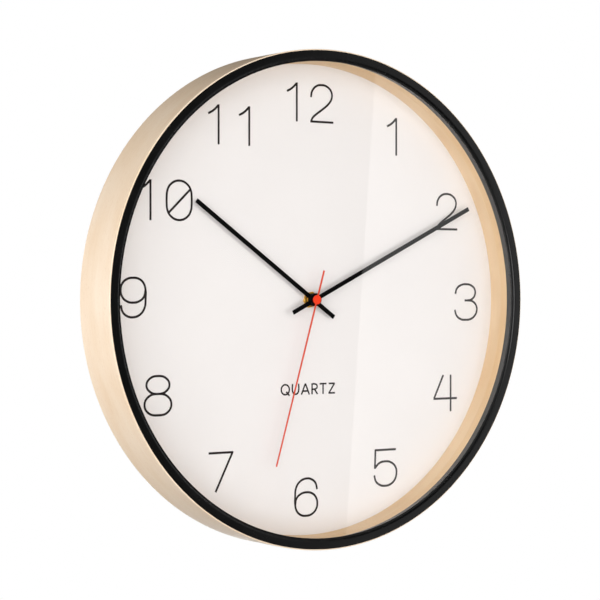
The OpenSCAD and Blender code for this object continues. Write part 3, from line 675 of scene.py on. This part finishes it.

# %% [markdown]
# ## Bent beech
#
# Beech is pale and plain. Close up it shows fine lines along the grain, short darker ray
# flecks two or three millimetres long, and slow changes of tone. On a bent hoop the grain
# runs round the circle, so the pattern is read in arc length, depth and radius instead of
# X, Y and Z. Where the arc starts and ends, at six o'clock, the strip's glued joint shows.
# Within half a millimetre of the hoop's inner radius a second, deeper pair of tones is used:
# on the hoop's inner wall it is painted shade. The lining lies wholly within that radius, so
# it shows only its second pair.

# %% Bent beech for the hoop and the lining


def bent_beech(name, outside, inside, fleck, roughness):
    """outside and inside are each a pale and a deep tone; inside is used near the inner
    radius, as painted shade on the hoop.
    """
    made, tree, shader = blank(name, roughness, IOR=1.48)
    place = add(tree, "TexCoord").outputs["Object"]
    axes = add(tree, "SeparateXYZ", {0: place})
    angle = add(tree, "Math", {0: axes.outputs["X"], 1: axes.outputs["Z"]},
                operation="ARCTAN2").outputs[0]
    arc = add(tree, "Math", {0: angle, 1: hoop_r}, operation="MULTIPLY").outputs[0]
    flat = add(tree, "CombineXYZ", {"X": axes.outputs["X"], "Z": axes.outputs["Z"]})
    radius = add(tree, "VectorMath", {0: flat.outputs[0]}, operation="LENGTH")
    strip = add(tree, "CombineXYZ", {"X": arc, "Y": axes.outputs["Y"],
                                     "Z": radius.outputs["Value"]}).outputs[0]
    # slow tone, grain lines and ray flecks: the last are drawn a little coarse to show
    tone_at = add(tree, "VectorMath", {0: strip, 1: per(70, 22, 22)}, operation="MULTIPLY")
    tone = add(tree, "TexNoise", {"Vector": tone_at.outputs[0], "Scale": 1.0, "Detail": 3.0})
    grain_at = add(tree, "VectorMath", {0: strip, 1: per(45, 0.7, 0.7)}, operation="MULTIPLY")
    grain = add(tree, "TexNoise", {"Vector": grain_at.outputs[0], "Scale": 1.0,
                                   "Detail": 4.0, "Roughness": 0.6})
    ray_at = add(tree, "VectorMath", {0: strip, 1: per(3, 0.45, 0.45)}, operation="MULTIPLY")
    ray = add(tree, "TexNoise", {"Vector": ray_at.outputs[0], "Scale": 1.0, "Detail": 1.0})
    lines = add(tree, "Math", {0: grain.outputs["Fac"], 1: 0.45}, operation="MULTIPLY")
    blend = add(tree, "Math", {0: tone.outputs["Fac"], 1: lines.outputs[0]}, operation="ADD")
    share = add(tree, "MapRange", {"Value": blend.outputs[0], "From Min": 0.5,
                                   "From Max": 1.0}).outputs[0]
    # painted shade: within this radius the deeper tones darken the hoop's inner wall
    inner_wall_painted_shade = add(tree, "Math", {0: radius.outputs["Value"], 1: hoop_in_r + 0.5 * MM},
                 operation="LESS_THAN").outputs[0]
    woods = [add(tree, "Mix", {0: share, 6: linear(pale), 7: linear(deep)},
                 data_type="RGBA").outputs[2] for pale, deep in (outside, inside)]
    wood = add(tree, "Mix", {0: inner_wall_painted_shade, 6: woods[0], 7: woods[1]}, data_type="RGBA")
    spot = add(tree, "MapRange", {"Value": ray.outputs["Fac"], "From Min": 0.62,
                                  "From Max": 0.78, "To Max": 0.35})
    colour = add(tree, "Mix", {0: spot.outputs[0], 6: wood.outputs[2], 7: linear(fleck)},
                 data_type="RGBA")
    tree.links.new(colour.outputs[2], shader.inputs["Base Color"])
    bump = add(tree, "Bump", {"Height": grain.outputs["Fac"], "Strength": 0.35,
                              "Distance": 0.06 * MM})
    tree.links.new(bump.outputs[0], shader.inputs["Normal"])
    return made


# each second pair is used within the inner radius: painted shade on the hoop's inner wall, and
# the lining's only tones
FINISH["beech"] = bent_beech("lacquered_beech_veneer", ("#F4E0C8", "#EBCFAE"),
                             ("#E9C99C", "#DDB784"), "#C79F74", 0.46)
FINISH["beech_lining"] = bent_beech("lacquered_beech_lining", ("#F0DCC2", "#E2C49D"),
                                    ("#EBCFA9", "#DDB98B"), "#C79F74", 0.5)
print("bent beech: grain lines 0.7 mm apart, flecks 3 mm long")

# %% [markdown]
# ## Sawn beech and hardboard
#
# The blocks are sawn from a straight board, so their grain runs along X and the saw leaves
# fine ridges across it. Hardboard is pressed wood fibre: a mat of short fibres in two browns,
# with the weave of the press's wire screen on its rough rear face.

# %% Sawn beech
made, tree, shader = blank("sawn_beech", 0.7, IOR=1.48)
place = add(tree, "TexCoord").outputs["Object"]
grain_at = add(tree, "VectorMath", {0: place, 1: per(30, 1.4, 1.4)}, operation="MULTIPLY")
grain = add(tree, "TexNoise", {"Vector": grain_at.outputs[0], "Scale": 1.0, "Detail": 5.0})
wood = add(tree, "ValToRGB", {"Fac": grain.outputs["Fac"]})
wood.color_ramp.elements[0].position = 0.3
wood.color_ramp.elements[0].color = linear("#D9B98E")
wood.color_ramp.elements[1].position = 0.72
wood.color_ramp.elements[1].color = linear("#B58A5C")
saw = add(tree, "TexWave", {"Vector": place, "Scale": per(8)[0], "Distortion": 3.0,
                            "Detail": 2.0}, bands_direction="X")
bump = add(tree, "Bump", {"Height": saw.outputs["Fac"], "Strength": 0.3, "Distance": 0.1 * MM})
tree.links.new(wood.outputs[0], shader.inputs["Base Color"])
tree.links.new(bump.outputs[0], shader.inputs["Normal"])
FINISH["beech_block"] = made

# %% Hardboard
made, tree, shader = blank("pressed_hardboard", 0.78)
place = add(tree, "TexCoord").outputs["Object"]
fibre = add(tree, "TexNoise", {"Vector": place, "Scale": per(1.6)[0], "Detail": 6.0,
                               "Roughness": 0.7, "Distortion": 1.5})
mat = add(tree, "ValToRGB", {"Fac": fibre.outputs["Fac"]})
mat.color_ramp.elements[0].position = 0.32
mat.color_ramp.elements[0].color = linear("#6E4B2E")
mat.color_ramp.elements[1].position = 0.7
mat.color_ramp.elements[1].color = linear("#A27B50")
# wires of the screen, 1.6 mm apart both ways
wires = [
    add(tree, "TexWave", {"Vector": place, "Scale": per(1.6)[0] / math.tau * 2},
        bands_direction=axis).outputs["Fac"]
    for axis in ("X", "Z")
]
weave = add(tree, "Math", {0: wires[0], 1: wires[1]}, operation="MINIMUM")
bump = add(tree, "Bump", {"Height": weave.outputs[0], "Strength": 0.6, "Distance": 0.15 * MM})
tree.links.new(mat.outputs[0], shader.inputs["Base Color"])
tree.links.new(bump.outputs[0], shader.inputs["Normal"])
FINISH["fibreboard"] = made
print("sawn beech and hardboard made")

# %% [markdown]
# ## Mouldings, lacquers and metals
#
# Most finishes differ in the same few ways: two close tones in soft patches, a gloss that
# varies a little with handling, and a fine texture from the mould, the spray gun or the
# plating bath. One function makes them from those values.

# %% One function for plain finishes


def finish(slot, name, tone, other, patch_mm, roughness, grain_mm, relief_mm,
           metallic=0.0, stretch=(1, 1, 1), **sockets):
    """Two tones in patches of patch_mm, and a relief of grain_mm grains, relief_mm high."""
    made, tree, shader = blank(name, roughness, metallic, **sockets)
    place = add(tree, "TexCoord").outputs["Object"]
    shaped = add(tree, "VectorMath", {0: place, 1: stretch}, operation="MULTIPLY").outputs[0]
    patch = add(tree, "TexNoise", {"Vector": shaped, "Scale": per(patch_mm)[0], "Detail": 3.0})
    colour = add(tree, "Mix", {0: patch.outputs["Fac"], 6: linear(tone), 7: linear(other)},
                 data_type="RGBA")
    tree.links.new(colour.outputs[2], shader.inputs["Base Color"])
    gloss = add(tree, "MapRange", {"Value": patch.outputs["Fac"], "From Min": 0.3,
                                   "From Max": 0.7, "To Min": roughness - 0.04,
                                   "To Max": roughness + 0.05})
    tree.links.new(gloss.outputs[0], shader.inputs["Roughness"])
    grain = add(tree, "TexNoise", {"Vector": shaped, "Scale": per(grain_mm)[0],
                                   "Detail": 2.0})
    bump = add(tree, "Bump", {"Height": grain.outputs["Fac"], "Strength": 0.5,
                              "Distance": relief_mm * MM})
    tree.links.new(bump.outputs[0], shader.inputs["Normal"])
    FINISH[slot] = made
    return made


# %% Plastics and rubber
# moulded ABS, with the gloss of a polished mould
finish("black_moulding", "polished_black_abs", "#080808", "#0B0B0B", 30, 0.24, 0.5, 0.004,
       Specular_IOR_Level=0.45)
# moulded polystyrene, slightly waxy
finish("white_housing", "moulded_white_polystyrene", "#E9E8E2", "#DEDDD6", 12, 0.42, 0.4, 0.02,
       IOR=1.59)
finish("red_plastic", "moulded_red_plastic", "#FA3C10", "#F2380E", 2, 0.36, 0.3, 0.004,
       Specular_IOR_Level=0.3)
finish("black_rubber", "nitrile_rubber", "#1A1A1A", "#242423", 4, 0.72, 0.3, 0.02, IOR=1.52)
finish("natural_nylon", "natural_nylon", "#E6E1D0", "#DDD6C2", 3, 0.45, 0.3, 0.01, IOR=1.53)
finish("natural_acetal", "natural_acetal", "#EFEBDD", "#E6E0CE", 3, 0.38, 0.3, 0.005, IOR=1.48)
finish("black_resin", "poured_epoxy_resin", "#101010", "#181817", 2, 0.22, 0.8, 0.03)

# %% Lacquers
# sprayed matt black, with the faint orange peel of thin lacquer
finish("black_lacquer", "matt_black_lacquer", "#020202", "#040404", 8, 0.6, 0.35, 0.004,
       Specular_IOR_Level=0.06)
finish("red_lacquer", "red_lacquer", "#E24A28", "#DA4424", 6, 0.4, 0.35, 0.004)

# %% Metals
finish("zinc_steel", "zinc_plated_steel", "#B9BDBF", "#9FA3A6", 3, 0.34, 0.6, 0.01, 1.0,
       stretch=(0.3, 1, 1))
finish("bright_steel", "nickel_plated_steel", "#CFCBC3", "#BEBAB2", 2, 0.2, 0.4, 0.004, 1.0)
finish("electrical_steel", "annealed_nickel_iron", "#9B9DA0", "#83868A", 2, 0.4, 0.3, 0.006,
       1.0, stretch=(1, 1, 0.3))
finish("sintered_magnet", "sintered_magnet", "#3A3A3C", "#2C2C2E", 0.8, 0.55, 0.2, 0.02, 0.6)
print(len(FINISH), "finishes so far")

# %% [markdown]
# ## Turned brass
#
# Brass parts come off a lathe. The tool leaves rings about the axis, so the bump is read in
# distance from the axis.

# %% Turned brass
made, tree, shader = blank("turned_brass", 0.42, 1.0)
place = add(tree, "TexCoord").outputs["Object"]
axes = add(tree, "SeparateXYZ", {0: place})
flat = add(tree, "CombineXYZ", {"X": axes.outputs["X"], "Z": axes.outputs["Z"]})
radius = add(tree, "VectorMath", {0: flat.outputs[0]}, operation="LENGTH")
reach = add(tree, "CombineXYZ", {"X": radius.outputs["Value"], "Y": axes.outputs["Y"]})
rings = add(tree, "TexNoise", {"Vector": reach.outputs[0], "Scale": per(0.25)[0],
                               "Detail": 2.0})
stain = add(tree, "TexNoise", {"Vector": place, "Scale": per(3)[0], "Detail": 3.0})
colour = add(tree, "Mix", {0: stain.outputs["Fac"], 6: linear("#F3C455"),
                           7: linear("#E6B048")}, data_type="RGBA")
bump = add(tree, "Bump", {"Height": rings.outputs["Fac"], "Strength": 0.4,
                          "Distance": 0.01 * MM})
tree.links.new(colour.outputs[2], shader.inputs["Base Color"])
tree.links.new(bump.outputs[0], shader.inputs["Normal"])
FINISH["brass"] = made

# %% [markdown]
# ## Dial sheet and ink
#
# The dial is coated card, a warm white that is matt so that the numbers read from the side.
# Close up the coating shows faint fibre. The ink is a soft black, a little see-through where
# it is thin, so it is never as black as the hands.

# %% Dial card and ink
made, tree, shader = blank("coated_dial_card", 0.62, IOR=1.45)
place = add(tree, "TexCoord").outputs["Object"]
cloud = add(tree, "TexNoise", {"Vector": place, "Scale": per(60)[0], "Detail": 3.0})
fibre = add(tree, "TexNoise", {"Vector": place, "Scale": per(0.8)[0], "Detail": 4.0})
mixed = add(tree, "Math", {0: cloud.outputs["Fac"], 1: fibre.outputs["Fac"]}, operation="ADD")
share = add(tree, "MapRange", {"Value": mixed.outputs[0], "From Min": 0.7, "From Max": 1.3})
colour = add(tree, "Mix", {0: share.outputs[0], 6: linear("#F6F2F0"), 7: linear("#F3EFED")},
             data_type="RGBA")
bump = add(tree, "Bump", {"Height": fibre.outputs["Fac"], "Strength": 0.2,
                          "Distance": 0.01 * MM})
tree.links.new(colour.outputs[2], shader.inputs["Base Color"])
tree.links.new(bump.outputs[0], shader.inputs["Normal"])
FINISH["white_dial"] = made
finish("ink", "screen_printing_ink", "#1F1716", "#261D1B", 5, 0.6, 0.3, 0.004,
       Specular_IOR_Level=0.3)

# %% [markdown]
# ## Glass
#
# Flat glass mirrors about 4% at each face and lets the rest straight through. A mix of a
# clear and a mirror shader gives that, with Fresnel deciding the share. Only the front face
# mirrors, at nearly twice the share, which stands for both faces.

# %% Float glass
made = bpy.data.materials.new("float_glass")
made.use_nodes = True
tree = made.node_tree
tree.nodes.remove(tree.nodes["Principled BSDF"])
place = add(tree, "TexCoord").outputs["Object"]
haze = add(tree, "TexNoise", {"Vector": place, "Scale": per(40)[0], "Detail": 3.0})
polish = add(tree, "MapRange", {"Value": haze.outputs["Fac"], "To Min": 0.005,
                                "To Max": 0.03})
mirror = add(tree, "BsdfGlossy", {"Color": (1, 1, 1, 1), "Roughness": polish.outputs[0]})
clear = add(tree, "BsdfTransparent", {"Color": linear("#FEFEFE")})
fresnel = add(tree, "Fresnel", {"IOR": 1.52})
side = add(tree, "NewGeometry").outputs["Backfacing"]
front = add(tree, "Math", {0: 1.0, 1: side}, operation="SUBTRACT")
both = add(tree, "Math", {0: fresnel.outputs[0], 1: 1.9}, operation="MULTIPLY",
           use_clamp=True)
share = add(tree, "Math", {0: both.outputs[0], 1: front.outputs[0]}, operation="MULTIPLY")
glazed = add(tree, "MixShader", {0: share.outputs[0], 1: clear.outputs[0],
                                 2: mirror.outputs[0]})
tree.links.new(glazed.outputs[0], tree.nodes["Material Output"].inputs["Surface"])
FINISH["clear_glass"] = made
print("glass: 4% at each face, more at a slant")

# %% [markdown]
# ## Circuit board, winding and battery sleeve
#
# The circuit board is green solder mask over copper tracks, which show as lighter lines. The
# coil is wound turn by turn, so its ridges stand side by side along the core. The sleeve is
# printed plain grey with a paler band at the positive end, and its ends are bare steel.

# %% Solder mask and copper wire
made, tree, shader = blank("solder_mask_laminate", 0.3)
place = add(tree, "TexCoord").outputs["Object"]
tracks = add(tree, "TexWave", {"Vector": place, "Scale": per(5)[0], "Distortion": 6.0,
                               "Detail": 0.0}, bands_direction="Z")
lines = add(tree, "MapRange", {"Value": tracks.outputs["Fac"], "From Min": 0.6,
                               "From Max": 0.7})
colour = add(tree, "Mix", {0: lines.outputs[0], 6: linear("#1E5634"), 7: linear("#2F7A4A")},
             data_type="RGBA")
tree.links.new(colour.outputs[2], shader.inputs["Base Color"])
FINISH["board_laminate"] = made

made, tree, shader = blank("enamelled_copper_wire", 0.28, 1.0)
place = add(tree, "TexCoord").outputs["Object"]
turns = add(tree, "TexWave", {"Vector": place, "Scale": per(0.3)[0] / math.tau * 2,
                              "Distortion": 0.6}, bands_direction="Z")
# painted shade and highlight: the wire's colour darkens in the grooves between turns and
# lightens on their crests
colour = add(tree, "Mix", {0: turns.outputs["Fac"], 6: linear("#8A3E1C"),
                           7: linear("#C8703A")}, data_type="RGBA")
bump = add(tree, "Bump", {"Height": turns.outputs["Fac"], "Strength": 0.8,
                          "Distance": 0.08 * MM})
tree.links.new(colour.outputs[2], shader.inputs["Base Color"])
tree.links.new(bump.outputs[0], shader.inputs["Normal"])
FINISH["copper_wire"] = made

# %% Battery sleeve
made, tree, shader = blank("printed_cell_sleeve", 0.3)
place = add(tree, "TexCoord").outputs["Object"]
axes = add(tree, "SeparateXYZ", {0: place})
inside = add(tree, "Math", {0: axes.outputs["X"], 1: cell_lo.x + 0.7 * MM},
             operation="GREATER_THAN")
before = add(tree, "Math", {0: axes.outputs["X"], 1: cell_lo.x + can_len - 0.7 * MM},
             operation="LESS_THAN")
sleeve = add(tree, "Math", {0: inside.outputs[0], 1: before.outputs[0]}, operation="MULTIPLY")
band = add(tree, "Math", {0: axes.outputs["X"], 1: cell_hi.x - 13 * MM},
           operation="GREATER_THAN")
print_dots = add(tree, "TexNoise", {"Vector": place, "Scale": per(0.5)[0], "Detail": 2.0})
grey = add(tree, "Mix", {0: print_dots.outputs["Fac"], 6: linear("#3C4248"),
                         7: linear("#454B52")}, data_type="RGBA")
banded = add(tree, "Mix", {0: band.outputs[0], 6: grey.outputs[2], 7: linear("#A9AFB4")},
             data_type="RGBA")
colour = add(tree, "Mix", {0: sleeve.outputs[0], 6: linear("#C9C6BF"),
                           7: banded.outputs[2]}, data_type="RGBA")
bare = add(tree, "Math", {0: 1.0, 1: sleeve.outputs[0]}, operation="SUBTRACT")
tree.links.new(colour.outputs[2], shader.inputs["Base Color"])
tree.links.new(bare.outputs[0], shader.inputs["Metallic"])
FINISH["cell_sleeve"] = made

# %% Give every piece its finish
dressed = 0
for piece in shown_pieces():
    slot = piece.get("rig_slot") or slot_of[piece.get("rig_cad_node", piece.name)]
    if piece in (dial_numbers, dial_word, cover_marks):
        slot = "ink"
    if not piece.data.materials:
        piece.data.materials.append(FINISH[slot])
    for spot in piece.material_slots:
        spot.material = FINISH[slot]
    dressed += 1
print("finishes on", dressed, "pieces")

# %% [markdown]
# ## Floor, light and camera
#
# The clock hangs 1.5 m above a plain pale floor. A box on the left lights the hoop's side,
# one beside the camera and two in front light the dial, and a panel on the right, rolled a
# little, shows as a faint upright line in the glass. Three more light the back.

# %% Floor
bm = bmesh.new()
bmesh.ops.create_circle(bm, cap_ends=True, radius=6, segments=96)
bmesh.ops.translate(bm, verts=bm.verts, vec=(0, 0, -1.5))
floor = to_piece(bm, "floor")
made, tree, shader = blank("pale_floor", 0.9, Emission_Strength=0.85)
shader.inputs["Emission Color"].default_value = (1, 1, 1, 1)
place = add(tree, "TexCoord").outputs["Object"]
cloud = add(tree, "TexNoise", {"Vector": place, "Scale": per(900)[0]})
colour = add(tree, "Mix", {0: cloud.outputs["Fac"], 6: linear("#F4F4F3"),
                           7: linear("#F0F0EF")}, data_type="RGBA")
tree.links.new(colour.outputs[2], shader.inputs["Base Color"])
floor.data.materials.append(made)
floor.visible_diffuse = floor.visible_glossy = False

# %% Softboxes


def softbox(name, azimuth, elevation, distance, width, height, radiance, roll=0):
    """A rectangle of light that faces the clock. Azimuth 0 is in front, 90 to the right."""
    lamp = bpy.data.lights.new(name, "AREA")
    lamp.shape = "RECTANGLE"
    lamp.size, lamp.size_y = width, height
    lamp.energy = radiance * math.pi * width * height
    box = bpy.data.objects.new(name, lamp)
    bpy.context.scene.collection.objects.link(box)
    a, e = math.radians(azimuth), math.radians(elevation)
    away = Vector((math.sin(a) * math.cos(e), -math.cos(a) * math.cos(e), math.sin(e)))
    box.location = away * distance
    box.rotation_euler = (away.to_track_quat("Z", "Y").to_matrix()
                          @ Matrix.Rotation(math.radians(roll), 3, "Z")).to_euler()
    box.visible_camera = False
    return box


softbox("left_box", -76, 0, 2.0, 1.3, 1.6, 3.7)
softbox("camera_box", -31, 0, 2.0, 1.8, 2.6, 2.2)
softbox("right_panel", 61.5, 0, 2.0, 1.9, 2.6, 0.6, roll=-4)
softbox("rear_box", -152, 0, 2.2, 1.5, 1.5, 1.3)
softbox("rear_right_box", 148, -6, 2.2, 1.5, 1.5, 4.0)
softbox("rear_wall", 180, -12, 2.4, 2.4, 2.0, 0.9)
# the two in front are left out of glossy rays, so the glass doesn't mirror them
for front in (softbox("front_box", 15, 0, 2.3, 0.9, 0.9, 4.6),
              softbox("front_scrim", 0, 0, 1.8, 3.2, 3.2, 0.34)):
    front.visible_glossy = False

# %% World
# The camera sees a white backdrop, which lights the clock only a little and leaves its
# glossy surfaces to the softboxes.
world = bpy.data.worlds.new("studio")
world.use_nodes = True
bpy.context.scene.world = world
tree = world.node_tree
backdrop = tree.nodes["Background"]
backdrop.inputs["Strength"].default_value = 1.0
backdrop.inputs["Color"].default_value = (1, 1, 1, 1)
fill = add(tree, "Background", {"Color": linear("#FFFDFA"), "Strength": 0.12})
dark = add(tree, "Background", {"Color": (1, 1, 1, 1), "Strength": 0.012})
path = add(tree, "LightPath")
room = add(tree, "MixShader", {0: path.outputs["Is Glossy Ray"], 1: fill.outputs[0],
                               2: dark.outputs[0]})
seen = add(tree, "MixShader", {0: path.outputs["Is Camera Ray"], 1: room.outputs[0],
                               2: backdrop.outputs[0]})
tree.links.new(seen.outputs[0], tree.nodes["World Output"].inputs["Surface"])
bpy.context.scene.view_settings.view_transform = "Standard"

# %% Camera
# It stands 34 degrees to the left of the clock's axis, level with the hands.
camera = bpy.data.objects.new("camera", bpy.data.cameras.new("camera"))
bpy.context.scene.collection.objects.link(camera)
camera.data.lens = 113.41
camera.data.sensor_width = 36
camera.location = (-0.87014, -1.28343, 0.0073)
looking = Vector((0.56245, 0.82682, -0.00494))
camera.rotation_euler = looking.to_track_quat("-Z", "Y").to_euler()
bpy.context.scene.camera = camera
print("camera", round(camera.location.length, 2), "m from the clock's axis")
